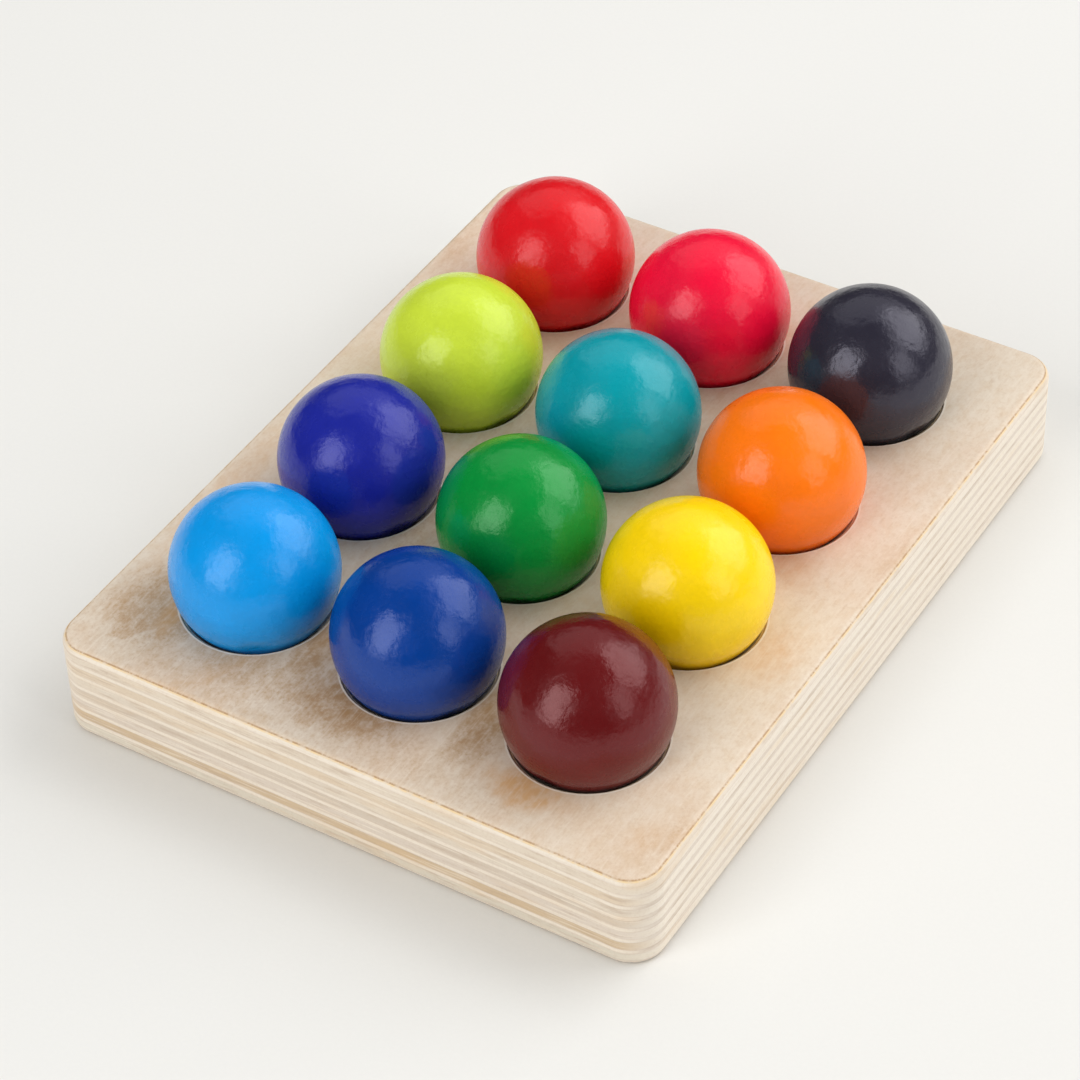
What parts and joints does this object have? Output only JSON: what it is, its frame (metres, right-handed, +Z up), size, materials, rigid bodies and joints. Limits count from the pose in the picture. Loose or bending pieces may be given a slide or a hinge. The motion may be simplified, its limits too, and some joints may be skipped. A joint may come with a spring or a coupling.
{
  "type": "ball sorting board",
  "caption": "Thick plywood board with a grid of dished sockets, each holding one large painted wooden ball that lifts out.",
  "frame": {"origin": "middle of the board's underside, on the surface it stands on", "axes": "+X along the board's short side, +Y along its long side, +Z up through the balls"},
  "size_m": [0.178, 0.229, 0.0636],
  "materials": {
    "face_veneer": "fine-sanded birch face veneer, unvarnished, soft satin",
    "crossband": "sanded pale birch, grain across the board",
    "core_ply": "sanded birch, grain along the board",
    "paint_sky_blue": "turned beech under satin-gloss sky blue paint",
    "paint_royal_blue": "turned beech under satin-gloss royal blue paint",
    "paint_maroon": "turned beech under satin-gloss maroon paint",
    "paint_indigo": "turned beech under satin-gloss indigo paint",
    "paint_green": "turned beech under satin-gloss green paint",
    "paint_yellow": "turned beech under satin-gloss yellow paint",
    "paint_lime": "turned beech under satin-gloss lime paint",
    "paint_teal": "turned beech under satin-gloss teal paint",
    "paint_orange": "turned beech under satin-gloss orange paint",
    "paint_red": "turned beech under satin-gloss red paint",
    "paint_crimson": "turned beech under satin-gloss crimson paint",
    "paint_charcoal": "turned beech under satin-gloss charcoal paint"
  },
  "bodies": {
    "board": {"top_face_veneer": "face_veneer", "crossband_1": "crossband", "core_ply_1": "core_ply", "crossband_2": "crossband", "core_ply_2": "core_ply", "crossband_3": "crossband", "core_ply_3": "core_ply", "crossband_4": "crossband", "core_ply_4": "core_ply", "crossband_5": "crossband", "core_ply_5": "core_ply", "crossband_6": "crossband", "core_ply_6": "core_ply", "crossband_7": "crossband", "core_ply_7": "core_ply", "crossband_8": "crossband", "bottom_face_veneer": "face_veneer"},
    "ball_sky_blue": {"ball_sky_blue": "paint_sky_blue"},
    "ball_royal_blue": {"ball_royal_blue": "paint_royal_blue"},
    "ball_maroon": {"ball_maroon": "paint_maroon"},
    "ball_indigo": {"ball_indigo": "paint_indigo"},
    "ball_green": {"ball_green": "paint_green"},
    "ball_yellow": {"ball_yellow": "paint_yellow"},
    "ball_lime": {"ball_lime": "paint_lime"},
    "ball_teal": {"ball_teal": "paint_teal"},
    "ball_orange": {"ball_orange": "paint_orange"},
    "ball_red": {"ball_red": "paint_red"},
    "ball_crimson": {"ball_crimson": "paint_crimson"},
    "ball_charcoal": {"ball_charcoal": "paint_charcoal"}
  },
  "joints": [
    {"name": "lift_sky_blue", "type": "slide", "parent": "board", "child": "ball_sky_blue", "axis": [0, 0, 1], "range_m": [0, 0.05]},
    {"name": "lift_royal_blue", "type": "slide", "parent": "board", "child": "ball_royal_blue", "axis": [0, 0, 1], "range_m": [0, 0.05]},
    {"name": "lift_maroon", "type": "slide", "parent": "board", "child": "ball_maroon", "axis": [0, 0, 1], "range_m": [0, 0.05]},
    {"name": "lift_indigo", "type": "slide", "parent": "board", "child": "ball_indigo", "axis": [0, 0, 1], "range_m": [0, 0.05]},
    {"name": "lift_green", "type": "slide", "parent": "board", "child": "ball_green", "axis": [0, 0, 1], "range_m": [0, 0.05]},
    {"name": "lift_yellow", "type": "slide", "parent": "board", "child": "ball_yellow", "axis": [0, 0, 1], "range_m": [0, 0.05]},
    {"name": "lift_lime", "type": "slide", "parent": "board", "child": "ball_lime", "axis": [0, 0, 1], "range_m": [0, 0.05]},
    {"name": "lift_teal", "type": "slide", "parent": "board", "child": "ball_teal", "axis": [0, 0, 1], "range_m": [0, 0.05]},
    {"name": "lift_orange", "type": "slide", "parent": "board", "child": "ball_orange", "axis": [0, 0, 1], "range_m": [0, 0.05]},
    {"name": "lift_red", "type": "slide", "parent": "board", "child": "ball_red", "axis": [0, 0, 1], "range_m": [0, 0.05]},
    {"name": "lift_crimson", "type": "slide", "parent": "board", "child": "ball_crimson", "axis": [0, 0, 1], "range_m": [0, 0.05]},
    {"name": "lift_charcoal", "type": "slide", "parent": "board", "child": "ball_charcoal", "axis": [0, 0, 1], "range_m": [0, 0.05]}
  ]
}
